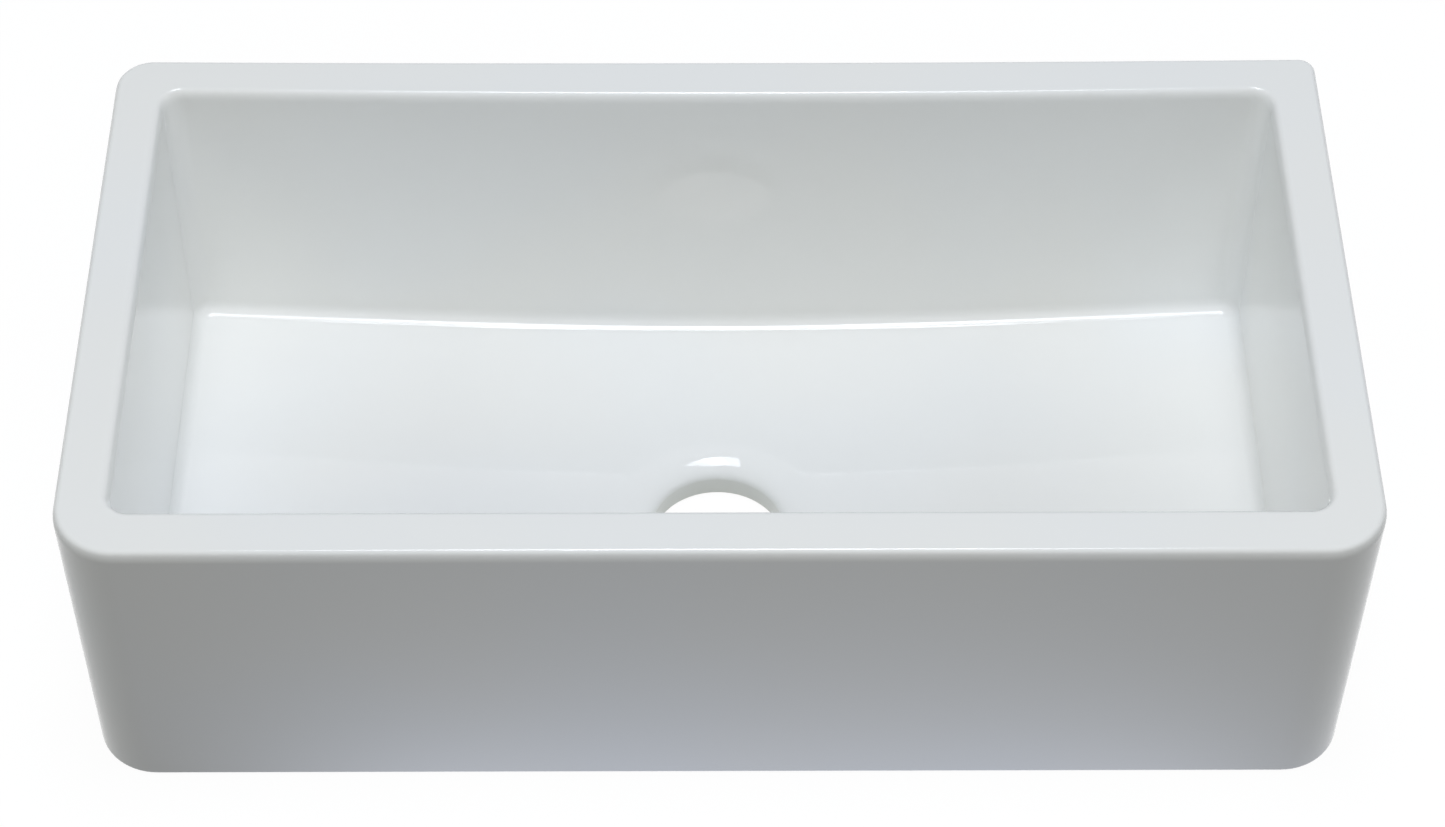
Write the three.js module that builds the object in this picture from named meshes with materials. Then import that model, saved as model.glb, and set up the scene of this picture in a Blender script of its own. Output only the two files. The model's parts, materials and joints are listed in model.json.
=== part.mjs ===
// Farmhouse apron front kitchen sink.
//
// The real sink is one slip-cast fireclay body, glazed and fired in one piece: a flat-bottomed block
// with a plain apron, a broad flat rim, a single deep bowl with coved walls, and a floor that falls
// to a flared drain mouth. It is modelled here as one closed skin, lofted through a chain of level
// sections that runs from the underside, up the outside, over the rim, down the bowl and out
// through the drain.
//
// Millimetres. +X points to the right of someone standing at the apron, +Y to the wall, +Z up.
// The origin is the middle of the underside.

import * as THREE from 'three';

// Outside of the block
const width = 838;
const depth = 438;
const height = 241;
const apronCornerRadius = 42;
const backCornerRadius = 20;
const topEdgeRadius = 6;
const baseEdgeRadius = 2.5;

// Bowl. Its walls lean in towards the floor: the front and back ones by longWallDraft, the ends by
// sideDraft.
const longRimWidth = 36;
const sideRimWidth = 35;
const bowlEdgeRadius = 6;
const bowlCornerRadius = 14;
const coveRadius = 9;
const longWallDraft = THREE.MathUtils.degToRad(5.6);
const sideDraft = THREE.MathUtils.degToRad(0.7);

// Floor: its thickness at the drain, and an oval dish that rises from there to the walls
const floorThickness = 26;
const floorFall = 0.0525;
const dishFlatness = 136;
const dishOval = 0.5;

// Drain
const drainRadius = 46.5;
const drainForward = 25.5;
const mouthFlare = 28;
const mouthDrop = 11;
const drainEdgeRadius = 2;

// Fineness of the facets
const cornerSteps = 10;
const longRunSteps = 12;
const shortRunSteps = 6;
const edgeSteps = 6;
const coveSteps = 6;
const floorSteps = 5;
const mouthSteps = 8;
const smallEdgeSteps = 3;

const quarterTurn = Math.PI / 2;
const drainCentre = new THREE.Vector2(0, -drainForward);

// Angles from 0 to a quarter turn, both ends included
function quarterAngles(steps) {
  return Array.from({ length: steps + 1 }, (_, i) => quarterTurn * i / steps);
}

// A rounded rectangle about the origin, anticlockwise from the start of its front right corner.
// Every section has the same number of points in the same order, so sections loft point to point.
function roundedSection(halfWidth, halfDepth, frontRadius, backRadius) {
  const corners = [
    { x: halfWidth - frontRadius, y: frontRadius - halfDepth, radius: frontRadius, run: shortRunSteps },
    { x: halfWidth - backRadius, y: halfDepth - backRadius, radius: backRadius, run: longRunSteps },
    { x: backRadius - halfWidth, y: halfDepth - backRadius, radius: backRadius, run: shortRunSteps },
    { x: frontRadius - halfWidth, y: frontRadius - halfDepth, radius: frontRadius, run: longRunSteps },
  ];
  const arcs = corners.map(({ x, y, radius }, i) => {
    const start = (i - 1) * quarterTurn;
    return quarterAngles(cornerSteps).map((angle) => new THREE.Vector2(
      x + radius * Math.cos(start + angle),
      y + radius * Math.sin(start + angle),
    ));
  });
  return arcs.flatMap((arc, i) => {
    const runStart = arc[cornerSteps];
    const runEnd = arcs[(i + 1) % arcs.length][0];
    const run = Array.from({ length: corners[i].run - 1 }, (_, k) => (
      runStart.clone().lerp(runEnd, (k + 1) / corners[i].run)
    ));
    return [...arc, ...run];
  });
}

// A circle about the drain, with its points in step with those of a rounded rectangle
function drainCircle(radius) {
  const count = 4 * cornerSteps + 2 * longRunSteps + 2 * shortRunSteps;
  const firstAngle = -quarterTurn + Math.PI * longRunSteps / count;
  return Array.from({ length: count }, (_, i) => new THREE.Vector2(
    drainCentre.x + radius * Math.cos(firstAngle + 2 * Math.PI * i / count),
    drainCentre.y + radius * Math.sin(firstAngle + 2 * Math.PI * i / count),
  ));
}

// Section through the outside of the block, drawn in from its full size by inset
function outerSection(inset) {
  return roundedSection(
    width / 2 - inset,
    depth / 2 - inset,
    Math.max(apronCornerRadius - inset, 1),
    Math.max(backCornerRadius - inset, 1),
  );
}

// Section through the bowl's drafted walls at height z, drawn in by inset
function bowlSection(z, inset) {
  const radius = Math.max(bowlCornerRadius - inset, 1);
  return roundedSection(
    width / 2 - sideRimWidth - (height - z) * Math.tan(sideDraft) - inset,
    depth / 2 - longRimWidth - (height - z) * Math.tan(longWallDraft) - inset,
    radius,
    radius,
  );
}

// Height of the bowl's floor, an oval dish with its lowest point at the drain
function floorHeight(point) {
  const dx = point.x - drainCentre.x;
  const dy = (point.y - drainCentre.y) * dishOval;
  return floorThickness + floorFall * (Math.hypot(dx, dy, dishFlatness) - dishFlatness);
}

function atHeight(section, z) {
  return section.map((point) => new THREE.Vector3(point.x, point.y, z));
}

function onFloor(section, drop = 0) {
  return section.map((point) => new THREE.Vector3(point.x, point.y, floorHeight(point) - drop));
}

// Underside, from the drain's lower edge out to the foot of the walls
function undersideRings() {
  const drainEdge = quarterAngles(smallEdgeSteps).map((angle) => atHeight(
    drainCircle(drainRadius + drainEdgeRadius * (1 - Math.cos(angle))),
    drainEdgeRadius * (1 - Math.sin(angle)),
  ));
  const baseEdge = quarterAngles(smallEdgeSteps).map((angle) => atHeight(
    outerSection(baseEdgeRadius * (1 - Math.sin(angle))),
    baseEdgeRadius * (1 - Math.cos(angle)),
  ));
  return [...drainEdge, ...baseEdge];
}

// Apron, sides and back up to the rim, with the rounded outer edge
function outerEdgeRings() {
  return quarterAngles(edgeSteps).map((angle) => atHeight(
    outerSection(topEdgeRadius * (1 - Math.cos(angle))),
    height - topEdgeRadius * (1 - Math.sin(angle)),
  ));
}

// Rounded edge from the flat rim over into the bowl
function bowlEdgeRings() {
  return quarterAngles(edgeSteps).map((angle) => {
    const z = height - bowlEdgeRadius * (1 - Math.cos(angle));
    return atHeight(bowlSection(z, -bowlEdgeRadius * (1 - Math.sin(angle))), z);
  });
}

// Cove between the bowl's walls and its floor. It follows the floor's fall, so each of its points
// is taken from the section of the drafted walls at that point's own height.
function coveRings() {
  return quarterAngles(coveSteps).map((angle) => {
    const inset = coveRadius * (1 - Math.cos(angle));
    const rise = coveRadius * (1 - Math.sin(angle));
    return bowlSection(floorThickness, inset).map((guide, i) => {
      const z = floorHeight(guide) + rise;
      const point = bowlSection(z, inset)[i];
      return new THREE.Vector3(point.x, point.y, z);
    });
  });
}

// Floor, from the cove in to the drain's mouth
function floorRings(coveFoot) {
  const mouth = drainCircle(drainRadius + mouthFlare);
  return Array.from({ length: floorSteps - 1 }, (_, k) => onFloor(
    coveFoot.map((foot, i) => new THREE.Vector2(foot.x, foot.y).lerp(mouth[i], (k + 1) / floorSteps)),
  ));
}

// Flared mouth, which turns the floor smoothly down into the drain's straight throat
function mouthRings() {
  return quarterAngles(mouthSteps).map((angle) => onFloor(
    drainCircle(drainRadius + mouthFlare * (1 - Math.sin(angle))),
    mouthDrop * (1 - Math.cos(angle)),
  ));
}

// Joins rings of equal length into one closed skin, the last ring back to the first
function loftClosed(rings) {
  const count = rings[0].length;
  const positions = rings.flat().flatMap((point) => [point.x, point.y, point.z]);
  const indices = rings.flatMap((_, r) => {
    const here = r * count;
    const next = ((r + 1) % rings.length) * count;
    return Array.from({ length: count }, (_, i) => {
      const j = (i + 1) % count;
      return [here + i, here + j, next + j, here + i, next + j, next + i];
    }).flat();
  });
  const geometry = new THREE.BufferGeometry();
  geometry.setAttribute('position', new THREE.Float32BufferAttribute(positions, 3));
  geometry.setIndex(indices);
  geometry.computeVertexNormals();
  return geometry;
}

function makeSinkBody() {
  const cove = coveRings();
  const geometry = loftClosed([
    ...undersideRings(),
    ...outerEdgeRings(),
    ...bowlEdgeRings(),
    ...cove,
    ...floorRings(cove[coveSteps]),
    ...mouthRings(),
  ]);
  const glazedFireclay = new THREE.MeshStandardMaterial({
    color: 0xeceeef,
    roughness: 0.12,
    metalness: 0,
  });
  const body = new THREE.Mesh(geometry, glazedFireclay);
  body.name = 'fireclay_sink_body';
  return body;
}

const sink = new THREE.Group();
sink.add(makeSinkBody());

export default sink;
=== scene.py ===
import json
import math

import bmesh
import bpy
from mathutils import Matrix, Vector

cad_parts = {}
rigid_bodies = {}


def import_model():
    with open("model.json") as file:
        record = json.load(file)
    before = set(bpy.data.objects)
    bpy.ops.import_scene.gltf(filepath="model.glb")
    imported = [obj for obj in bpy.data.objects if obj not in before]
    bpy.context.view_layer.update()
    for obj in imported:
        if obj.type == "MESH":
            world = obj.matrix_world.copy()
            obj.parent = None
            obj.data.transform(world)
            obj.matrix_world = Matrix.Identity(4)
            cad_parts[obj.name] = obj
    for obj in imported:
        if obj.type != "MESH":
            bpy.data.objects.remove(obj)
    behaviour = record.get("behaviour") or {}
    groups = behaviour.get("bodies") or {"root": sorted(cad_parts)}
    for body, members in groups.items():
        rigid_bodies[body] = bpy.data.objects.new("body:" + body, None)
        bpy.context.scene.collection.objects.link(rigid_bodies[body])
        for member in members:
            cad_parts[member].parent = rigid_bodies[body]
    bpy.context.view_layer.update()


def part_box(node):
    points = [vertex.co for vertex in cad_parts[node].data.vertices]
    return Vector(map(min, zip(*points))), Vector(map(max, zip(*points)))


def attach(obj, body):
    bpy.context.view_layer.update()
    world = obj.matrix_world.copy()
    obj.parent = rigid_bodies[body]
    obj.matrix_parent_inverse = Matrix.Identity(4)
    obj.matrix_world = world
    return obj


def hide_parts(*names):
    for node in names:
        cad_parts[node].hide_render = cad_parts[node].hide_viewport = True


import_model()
sinkLow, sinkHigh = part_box("fireclay_sink_body")
sinkWidth, sinkDepth, sinkHeight = sinkHigh - sinkLow
print("frame loaded, sink", round(sinkWidth, 4), round(sinkDepth, 4), round(sinkHeight, 4))


def linkedMesh(name, bm, material):
    mesh = bpy.data.meshes.new(name)
    bm.to_mesh(mesh)
    bm.free()
    mesh.materials.append(material)
    piece = bpy.data.objects.new(name, mesh)
    bpy.context.scene.collection.objects.link(piece)
    return piece


# A node's output. Arithmetic on wires adds the Math nodes.
class Wire:
    def __init__(self, tree, socket):
        self.tree = tree
        self.socket = socket

    def maths(self, operation, first, second):
        return self.tree.node("Math", {"operation": operation}, {0: first, 1: second})

    def __add__(self, other):
        return self.maths("ADD", self, other)

    def __radd__(self, other):
        return self.maths("ADD", other, self)

    def __sub__(self, other):
        return self.maths("SUBTRACT", self, other)

    def __rsub__(self, other):
        return self.maths("SUBTRACT", other, self)

    def __mul__(self, other):
        return self.maths("MULTIPLY", self, other)

    def __rmul__(self, other):
        return self.maths("MULTIPLY", other, self)

    def most(self, other):
        return self.maths("MAXIMUM", self, other)

    def size(self):
        return self.maths("ABSOLUTE", self, 0)


# The nodes of one material or of the world.
class ShaderTree:
    def __init__(self, owner):
        owner.use_nodes = True
        self.nodes = owner.node_tree.nodes
        self.links = owner.node_tree.links
        self.nodes.clear()

    def node(self, kind, settings=None, inputs=None, output=0):
        made = self.nodes.new("ShaderNode" + kind)
        for key, value in (settings or {}).items():
            setattr(made, key, value)
        for key, value in (inputs or {}).items():
            if isinstance(value, Wire):
                self.links.new(value.socket, made.inputs[key])
            else:
                made.inputs[key].default_value = value
        return Wire(self, made.outputs[output]) if made.outputs else None

    def smoothBetween(self, value, low, high):
        return self.node(
            "MapRange",
            {"interpolation_type": "SMOOTHSTEP"},
            {"Value": value, "From Min": low, "From Max": high},
        )

    def mixColours(self, factor, first, second):
        return self.node(
            "Mix",
            {"data_type": "RGBA"},
            {"Factor": factor, 6: first, 7: second},
            output=2,
        )


cameraView = {
    "place": (-0.0136556, -1.519663, 1.9401041),
    "turn": (40.0100, -0.0181, -0.1804),
    "focalLength": 86.0556,
    "sensorWidth": 36.0,
    "shift": (0.011548, -0.009992),
    "clipEnd": 30,
}


def makeCamera():
    lens = bpy.data.cameras.new("camera")
    lens.sensor_fit = "HORIZONTAL"
    lens.sensor_width = cameraView["sensorWidth"]
    lens.lens = cameraView["focalLength"]
    lens.shift_x, lens.shift_y = cameraView["shift"]
    lens.clip_end = cameraView["clipEnd"]
    camera = bpy.data.objects.new("camera", lens)
    bpy.context.scene.collection.objects.link(camera)
    camera.location = cameraView["place"]
    camera.rotation_euler = [math.radians(angle) for angle in cameraView["turn"]]
    bpy.context.scene.camera = camera


makeCamera()
print("camera placed")


glazeLook = {
    "coolWhite": (0.884, 0.900, 0.904, 1),
    "warmWhite": (0.892, 0.900, 0.890, 1),
    "tintPatchSize": 0.22,
    "tintRange": (0.35, 0.65),
    "refraction": 1.52,
    "roughness": 0.035,
    "roughnessSpread": 0.02,
    "roughnessPatchSize": 0.05,
    "peelSize": 0.011,
    "peelHeight": 0.000004,
    "waveSize": 0.085,
    "waveHeight": 0.00003,
    "glazeLine": 0.0013,
    "glazeLineWander": 0.0008,
    "glazeLineWaveSize": 0.012,
    "glazeLineFade": 0.0002,
}
clayLook = {
    "pale": (0.60, 0.55, 0.47, 1),
    "dark": (0.47, 0.42, 0.35, 1),
    "grainSize": 0.0016,
    "roughness": 0.85,
    "grainHeight": 0.00008,
}


def makeGlaze():
    look = glazeLook
    material = bpy.data.materials.new("fireclay_glaze")
    tree = ShaderTree(material)
    place = tree.node("TexCoord", output=3)

    def noise(size, detail=2.0):
        return tree.node(
            "TexNoise",
            {"noise_dimensions": "3D"},
            {"Vector": place, "Scale": 1 / size, "Detail": detail},
        )

    tint = tree.smoothBetween(noise(look["tintPatchSize"], detail=1.0), *look["tintRange"])
    glazeColour = tree.mixColours(tint, look["coolWhite"], look["warmWhite"])
    dullness = (noise(look["roughnessPatchSize"]) - 0.5) * look["roughnessSpread"]
    glazeRoughness = look["roughness"] + dullness
    peel = noise(look["peelSize"], detail=1.0) * look["peelHeight"]
    wave = noise(look["waveSize"], detail=1.0) * look["waveHeight"]

    grain = noise(clayLook["grainSize"], detail=4.0)
    clayColour = tree.mixColours(grain, clayLook["dark"], clayLook["pale"])

    # the underside stays bare, up to a wandering line just above the table
    level = tree.node("SeparateXYZ", inputs={0: place}, output=2)
    wander = (noise(look["glazeLineWaveSize"], detail=3.0) - 0.5) * (2 * look["glazeLineWander"])
    line = look["glazeLine"] + wander
    glazed = tree.smoothBetween(level - line, -look["glazeLineFade"], look["glazeLineFade"])
    bare = 1 - glazed

    relief = glazed * (peel + wave) + bare * (grain * clayLook["grainHeight"])
    surface = tree.node("BsdfPrincipled", inputs={
        "Base Color": tree.mixColours(glazed, clayColour, glazeColour),
        "Roughness": glazeRoughness * glazed + bare * clayLook["roughness"],
        "IOR": look["refraction"],
        "Normal": tree.node("Bump", inputs={"Strength": 1.0, "Distance": 1.0, "Height": relief}),
    })
    tree.node("OutputMaterial", inputs={"Surface": surface})
    return material


bodyShape = {
    "apronCornerRadius": 0.042,
    "backLeftCornerRadius": 0.026,
    "backRightCornerRadius": 0.012,
    "edgeRadius": 0.0042,
    "edgeTurn": 66.0,
    "edgeRunOutRadius": 0.016,
    "baseEdgeRadius": 0.0025,
    "longRimWidth": 0.036,
    "sideRimWidth": 0.035,
    "bowlCornerRadius": 0.014,
    "coveWidth": 0.009,
    "longWallDraft": 5.6,
    "sideDraft": 0.7,
    "floorThickness": 0.026,
    "floorFall": 0.0525,
    "dishFlatness": 0.136,
    "dishOval": 0.5,
    "drainRadius": 0.0465,
    "drainForward": 0.0255,
    "mouthFlare": 0.028,
    "mouthDrop": 0.011,
    "drainEdgeRadius": 0.002,
    "backBow": 0.0023,
    "backBowReach": 0.16,
    "brimBow": 0.021,
    "brimBowMiddle": 0.03,
    "brimBowFoot": 0.05,
    "cornerSegments": 16,
    "longRunCuts": 27,
    "shortRunCuts": 13,
    "edgeSegments": 14,
    "baseEdgeSegments": 4,
    "coveSegments": 9,
    "floorCuts": 14,
    "mouthSegments": 20,
    "drainEdgeSegments": 4,
}
slack = 0.0001  # for picking points and edges by where they are


def dishHeight(x, y):
    shape = bodyShape
    flatness = shape["dishFlatness"]
    reach = math.hypot(x, (y + shape["drainForward"]) * shape["dishOval"], flatness)
    return shape["floorThickness"] + shape["floorFall"] * (reach - flatness)


# A rounded oblong about the origin, as a loop of edges with points along its straight runs
def roundedLoop(bm, halfWidth, halfDepth, frontRadius, backLeftRadius, backRightRadius, level):
    corners = bmesh.ops.create_grid(bm, x_segments=1, y_segments=1, size=1)["verts"]
    bmesh.ops.scale(bm, vec=(halfWidth, halfDepth, 1), verts=corners)
    bmesh.ops.translate(bm, vec=(0, 0, level), verts=corners)
    radii = {
        (-1, -1): frontRadius, (1, -1): frontRadius,
        (-1, 1): backLeftRadius, (1, 1): backRightRadius,
    }
    for (sideX, sideY), radius in radii.items():
        corner = [v for v in corners if v.is_valid and v.co.x * sideX > 0 and v.co.y * sideY > 0]
        bmesh.ops.bevel(
            bm, geom=corner, offset=radius, offset_type="OFFSET", affect="VERTICES",
            segments=bodyShape["cornerSegments"], profile=0.5, material=-1,
        )
    plate = next(f for f in bm.faces if len(f.verts) > 4)
    bmesh.ops.delete(bm, geom=[plate], context="FACES_ONLY")
    longestFacet = 0.1  # a corner's facets are shorter, the straight runs longer
    for axis, cuts in ((1, bodyShape["longRunCuts"]), (0, bodyShape["shortRunCuts"])):
        runs = [
            e for e in bm.edges
            if e.is_wire and e.calc_length() > longestFacet
            and abs(e.verts[0].co[axis] - e.verts[1].co[axis]) < slack
        ]
        bmesh.ops.subdivide_edges(bm, edges=runs, cuts=cuts)
    return [e for e in bm.edges if e.is_wire]


def extrudeLoop(bm, loop):
    made = bmesh.ops.extrude_edge_only(bm, edges=loop)["geom"]
    return [e for e in made if isinstance(e, bmesh.types.BMEdge)]


def loopPoints(loop):
    return list({v for e in loop for v in e.verts})


def roundEdges(bm, edges, offset, segments):
    bmesh.ops.bevel(
        bm, geom=[e for e in edges if e.is_valid], offset=offset, offset_type="OFFSET",
        affect="EDGES", segments=segments, profile=0.5, material=-1, clamp_overlap=False,
    )


# Outside of the block, from the base up to the shoulder
def makeOutside(bm):
    shape = bodyShape
    base = roundedLoop(
        bm, sinkWidth / 2, sinkDepth / 2, shape["apronCornerRadius"],
        shape["backLeftCornerRadius"], shape["backRightCornerRadius"], 0)
    shoulder = extrudeLoop(bm, base)
    bmesh.ops.translate(bm, vec=(0, 0, sinkHeight), verts=loopPoints(shoulder))
    return base, shoulder


# Walls of the bowl, from its brim down to the dish of the floor
def makeBowlWalls(bm):
    shape = bodyShape
    radius = shape["bowlCornerRadius"]
    brim = roundedLoop(
        bm, sinkWidth / 2 - shape["sideRimWidth"], sinkDepth / 2 - shape["longRimWidth"],
        radius, radius, radius, sinkHeight)
    foot = extrudeLoop(bm, brim)
    points = loopPoints(foot)
    fall = sinkHeight - shape["floorThickness"]
    bmesh.ops.translate(bm, vec=(0, 0, -fall), verts=points)
    for axis, draft in ((0, shape["sideDraft"]), (1, shape["longWallDraft"])):
        for side in (-1, 1):
            lean = Vector((0, 0, 0))
            lean[axis] = -side * fall * math.tan(math.radians(draft))
            wall = [v for v in points if v.co[axis] * side > slack]
            bmesh.ops.translate(bm, vec=lean, verts=wall)
    for point in points:
        top = next(v for e in point.link_edges for v in e.verts if v.co.z > sinkHeight / 2)
        share = (sinkHeight - dishHeight(point.co.x, point.co.y)) / fall
        point.co = top.co.lerp(point.co, share)
    return brim, foot


def quarterAngles(segments):
    return [math.pi / 2 * i / segments for i in range(segments + 1)]


# Mouth, throat and lower edge of the drain, turned about its axis with as many points as the
# loops of the walls have
def makeDrain(bm):
    shape = bodyShape
    axisPoint = Vector((0, -shape["drainForward"], 0))
    radius, flare, edge = shape["drainRadius"], shape["mouthFlare"], shape["drainEdgeRadius"]
    profile = []
    for angle in quarterAngles(shape["mouthSegments"]):
        profile.append((
            radius + flare * (1 - math.sin(angle)),
            shape["floorThickness"] - shape["mouthDrop"] * (1 - math.cos(angle)),
        ))
    for angle in quarterAngles(shape["drainEdgeSegments"]):
        profile.append((radius + edge * (1 - math.cos(angle)), edge * (1 - math.sin(angle))))
    points = [bm.verts.new(axisPoint + Vector((0, -r, z))) for r, z in profile]
    chain = [bm.edges.new(pair) for pair in zip(points, points[1:])]
    turns = 4 * shape["cornerSegments"] + 2 * shape["longRunCuts"] + 2 * shape["shortRunCuts"] + 4
    bmesh.ops.spin(
        bm, geom=points + chain, cent=axisPoint, axis=(0, 0, 1), angle=2 * math.pi, steps=turns,
        use_merge=True,
    )
    made = [v for v in bm.verts if (v.co.xy - axisPoint.xy).length < radius + flare + slack]
    ends = {e for v in made for e in v.link_edges if e.is_boundary}
    mouth = [e for e in ends if e.verts[0].co.z > shape["floorThickness"] / 2]
    outlet = [e for e in ends if e.verts[0].co.z <= shape["floorThickness"] / 2]
    for point in made:
        if point.co.z > edge + slack:
            point.co.z += dishHeight(point.co.x, point.co.y) - shape["floorThickness"]
    return mouth, outlet


# Floor of the bowl, bridged from the foot of the walls to the mouth and settled on the dish
def makeFloor(bm, foot, mouth):
    crossing = bmesh.ops.bridge_loops(bm, edges=foot + mouth)["edges"]
    inner = bmesh.ops.subdivide_edges(
        bm, edges=crossing, cuts=bodyShape["floorCuts"], use_grid_fill=True)["geom_inner"]
    for point in inner:
        if isinstance(point, bmesh.types.BMVert):
            point.co.z = dishHeight(point.co.x, point.co.y)


# How far a rounded edge of the rim reaches over the rim's flat
def edgeReach():
    shape = bodyShape
    turn = math.sin(math.radians(shape["edgeTurn"]))
    return shape["edgeRadius"] * turn + shape["edgeRunOutRadius"] * (1 - turn)


# How far that edge has dropped where it has reached so far out. It turns over on a small radius
# and then runs out down the wall on a much larger one.
def edgeDrop(reached):
    shape = bodyShape
    turn = math.radians(shape["edgeTurn"])
    tight, wide = shape["edgeRadius"], shape["edgeRunOutRadius"]
    if reached < tight * math.sin(turn):
        return tight * (1 - math.cos(math.asin(reached / tight)))
    lean = math.asin(min(math.sin(turn) + (reached - tight * math.sin(turn)) / wide, 1))
    return tight * (1 - math.cos(turn)) + wide * (math.cos(turn) - math.cos(lean))


# Draws the rim's edges, which are plain and round so far, down to that profile
def drawEdgesDown(bm):
    reach = edgeReach()
    for point in bm.verts:
        drop = sinkHeight - point.co.z
        if drop < reach + slack:
            across = reach * math.sqrt(max(1 - (1 - min(drop / reach, 1)) ** 2, 0))
            point.co.z = sinkHeight - edgeDrop(across)


# The long back wall has drawn in a little at its middle in the kiln, and the bowl's back edge has
# spread a little at its ends
def bowBack(bm):
    shape = bodyShape
    foot = shape["brimBowFoot"]
    shoulderWidth = 0.02  # wider than the outer edge and narrower than the rim
    for point in bm.verts:
        share = min(max(point.co.y / shape["backBowReach"], 0), 1)
        inward = min(sinkWidth / 2 - abs(point.co.x), sinkDepth / 2 - abs(point.co.y))
        point.co.y -= shape["backBow"] * share * (1 - (2 * point.co.x / sinkWidth) ** 2)
        if inward > shoulderWidth:
            rise = min(max((point.co.z - foot) / (sinkHeight - foot), 0), 1)
            out = (point.co.x - shape["brimBowMiddle"]) ** 2
            point.co.y += shape["brimBow"] * out * share * rise


def makeSinkBody():
    shape = bodyShape
    bm = bmesh.new()
    base, shoulder = makeOutside(bm)
    brim, foot = makeBowlWalls(bm)
    mouth, outlet = makeDrain(bm)
    bmesh.ops.bridge_loops(bm, edges=shoulder + brim)
    bmesh.ops.bridge_loops(bm, edges=base + outlet)
    makeFloor(bm, foot, mouth)
    roundEdges(bm, shoulder, edgeReach(), shape["edgeSegments"])
    roundEdges(bm, brim, edgeReach(), shape["edgeSegments"])
    drawEdgesDown(bm)
    roundEdges(bm, foot, shape["coveWidth"], shape["coveSegments"])
    roundEdges(bm, base, shape["baseEdgeRadius"], shape["baseEdgeSegments"])
    bowBack(bm)
    bmesh.ops.recalc_face_normals(bm, faces=bm.faces)
    for face in bm.faces:
        face.smooth = True
    print("sink body:", len(bm.verts), "points,", len(bm.faces), "faces, open edges",
          sum(not e.is_manifold for e in bm.edges), "volume", round(bm.calc_volume(), 5))
    sink = linkedMesh("fireclay_sink", bm, makeGlaze())
    sink.modifiers.new("flatFacesLeadNormals", "WEIGHTED_NORMAL")
    return sink


sink = makeSinkBody()
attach(sink, "root")
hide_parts("fireclay_sink_body")
print("sink body made")


studio = {
    "tableRadius": 1.5,
    "tableFacets": 96,
    "tableDrop": 0.0003,
    "whiteShare": 0.94,
    "shadowShare": 0.08,
    "glowBelow": (0.350, 0.366, 0.330, 1),
    "glowInFront": (0.457, 0.498, 0.620, 1),
    "glowToneFade": (0.10, 0.20),
    "glowMiddle": 0.05,
    "glowFadeAcross": (0.50, 0.20),
    "glowFadeForward": (0.53, 0.32),
    "fill": (1.0, 1.0, 1.0, 1),
    "fillStrength": 0.10,
    "aim": (0, 0, 0.10),
}
overheadColour = (0.97, 1.0, 1.08)
lamps = {
    "overheadSoftbox": {
        "place": (0.06, 0.17, 5.0), "size": (1.74, 1.7), "brightness": 5.5,
        "colour": overheadColour, "mirrored": True,
    },
    "softboxBulb": {
        "place": (0.06, 0.17, 4.95), "size": (0.72, 1.6), "brightness": 5.0,
        "colour": overheadColour, "mirrored": True,
    },
    "overheadFill": {
        "place": (0, 0.17, 5.0), "size": (1.7, 1.7), "brightness": 2.5,
        "colour": overheadColour, "mirrored": False,
    },
    "frontDiffuser": {
        "place": (0, -2.6, 3.2), "size": (2.0, 2.0), "brightness": 3.11,
        "colour": (1.0, 1.0, 0.94), "mirrored": False,
    },
    "leftDiffuser": {
        "place": (-3.5, 0, 2.2), "size": (3.0, 2.0), "brightness": 1.35,
        "colour": (0.932, 1.0, 0.981), "mirrored": False,
    },
    "rightDiffuser": {
        "place": (3.5, 0, 2.2), "size": (3.0, 2.0), "brightness": 1.51,
        "colour": (0.932, 1.0, 1.032), "mirrored": False,
    },
}


def seenDirectly(tree):
    camera = tree.node("LightPath", output=0)
    glossy = tree.node("LightPath", output=3)
    transmission = tree.node("LightPath", output=6)
    return camera.most(glossy).most(transmission)


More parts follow.
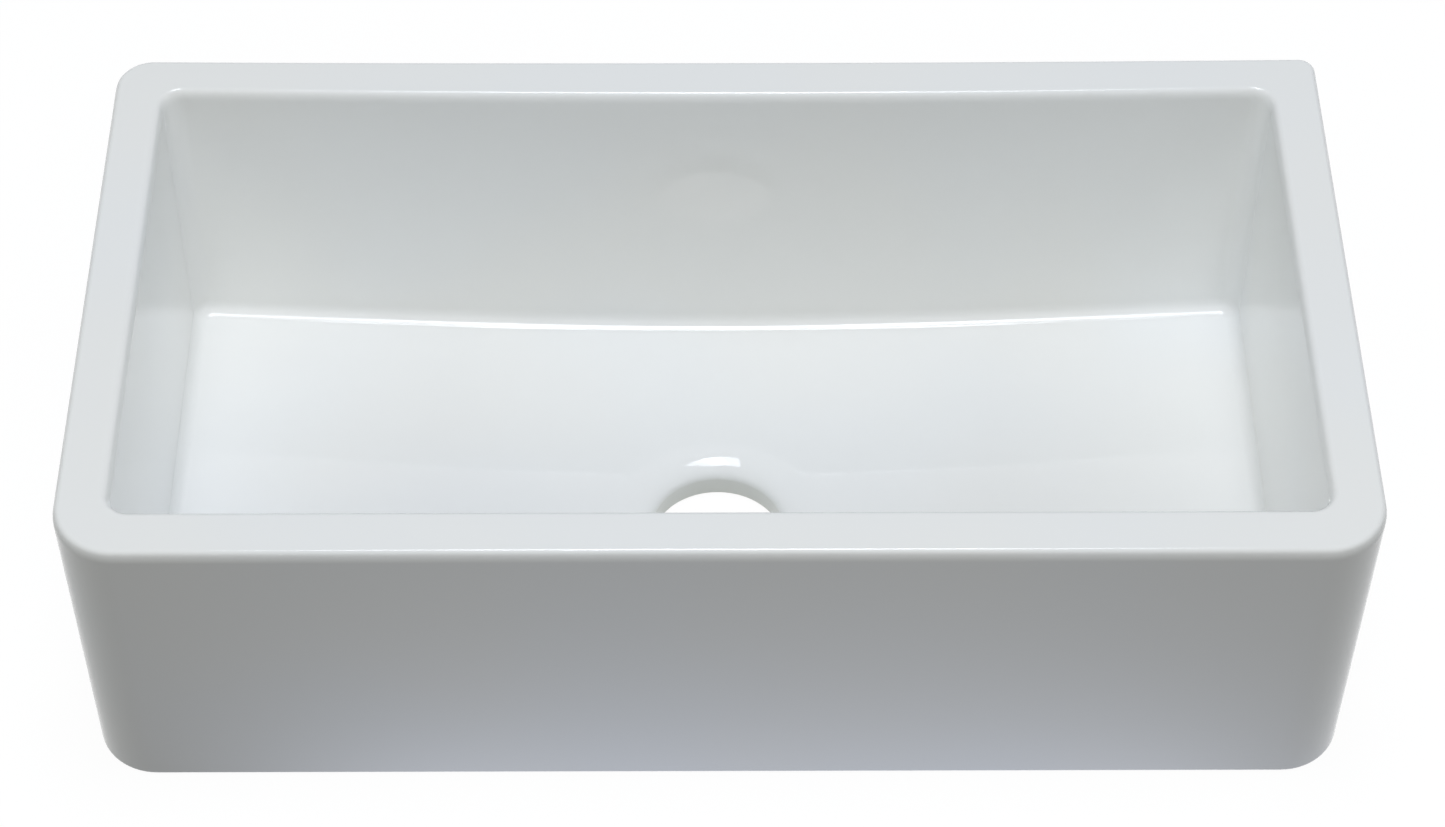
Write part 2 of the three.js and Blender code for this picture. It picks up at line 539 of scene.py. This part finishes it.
# A white table that glows softly from below round the sink
def makeTable():
    bm = bmesh.new()
    bmesh.ops.create_circle(
        bm, cap_ends=True, segments=studio["tableFacets"], radius=studio["tableRadius"])
    bmesh.ops.translate(bm, vec=(0, 0, -studio["tableDrop"]), verts=bm.verts)
    material = bpy.data.materials.new("white_table")
    tree = ShaderTree(material)
    place = tree.node("TexCoord", output=3)
    across = tree.node("SeparateXYZ", inputs={0: place}, output=0)
    forward = tree.node("SeparateXYZ", inputs={0: place}, output=1)
    near = (
        tree.smoothBetween((across - studio["glowMiddle"]).size(), *studio["glowFadeAcross"])
        * tree.smoothBetween(forward.size(), *studio["glowFadeForward"])
    )
    tone = tree.mixColours(
        tree.smoothBetween(forward.size(), *studio["glowToneFade"]),
        studio["glowBelow"], studio["glowInFront"])
    dark = tree.node("BsdfDiffuse", inputs={"Color": (0, 0, 0, 1)})
    glow = tree.node("Emission", inputs={"Color": tone, "Strength": 1.0})
    plain = tree.node("MixShader", inputs={0: near, 1: dark, 2: glow})
    share = studio["shadowShare"]
    shaded = tree.node("BsdfDiffuse", inputs={"Color": (share, share, share, 1)})
    white = tree.node("Emission", inputs={"Color": (1, 1, 1, 1), "Strength": studio["whiteShare"]})
    shown = tree.node("AddShader", inputs={0: shaded, 1: white})
    surface = tree.node("MixShader", inputs={0: seenDirectly(tree), 1: plain, 2: shown})
    tree.node("OutputMaterial", inputs={"Surface": surface})
    linkedMesh("studio_table", bm, material)


def makeSurroundings():
    world = bpy.data.worlds.new("studio")
    bpy.context.scene.world = world
    tree = ShaderTree(world)
    fill = tree.node(
        "Background", inputs={"Color": studio["fill"], "Strength": studio["fillStrength"]})
    white = tree.node("Background", inputs={"Color": (1, 1, 1, 1), "Strength": 1.0})
    shown = tree.node("MixShader", inputs={0: seenDirectly(tree), 1: fill, 2: white})
    tree.node("OutputWorld", inputs={"Surface": shown})


# A flat lamp whose face has the given brightness, turned to the sink
def makeLamp(name):
    settings = lamps[name]
    light = bpy.data.lights.new(name, "AREA")
    light.shape = "RECTANGLE"
    light.size, light.size_y = settings["size"]
    light.color = settings["colour"]
    light.energy = math.pi * light.size * light.size_y * settings["brightness"]
    lamp = bpy.data.objects.new(name, light)
    lamp.location = settings["place"]
    toSink = Vector(studio["aim"]) - lamp.location
    lamp.rotation_euler = toSink.to_track_quat("-Z", "Y").to_euler()
    lamp.visible_glossy = settings["mirrored"]
    bpy.context.scene.collection.objects.link(lamp)


makeTable()
makeSurroundings()
for lampName in lamps:
    makeLamp(lampName)
bpy.context.scene.view_settings.view_transform = "Standard"
print("studio made")
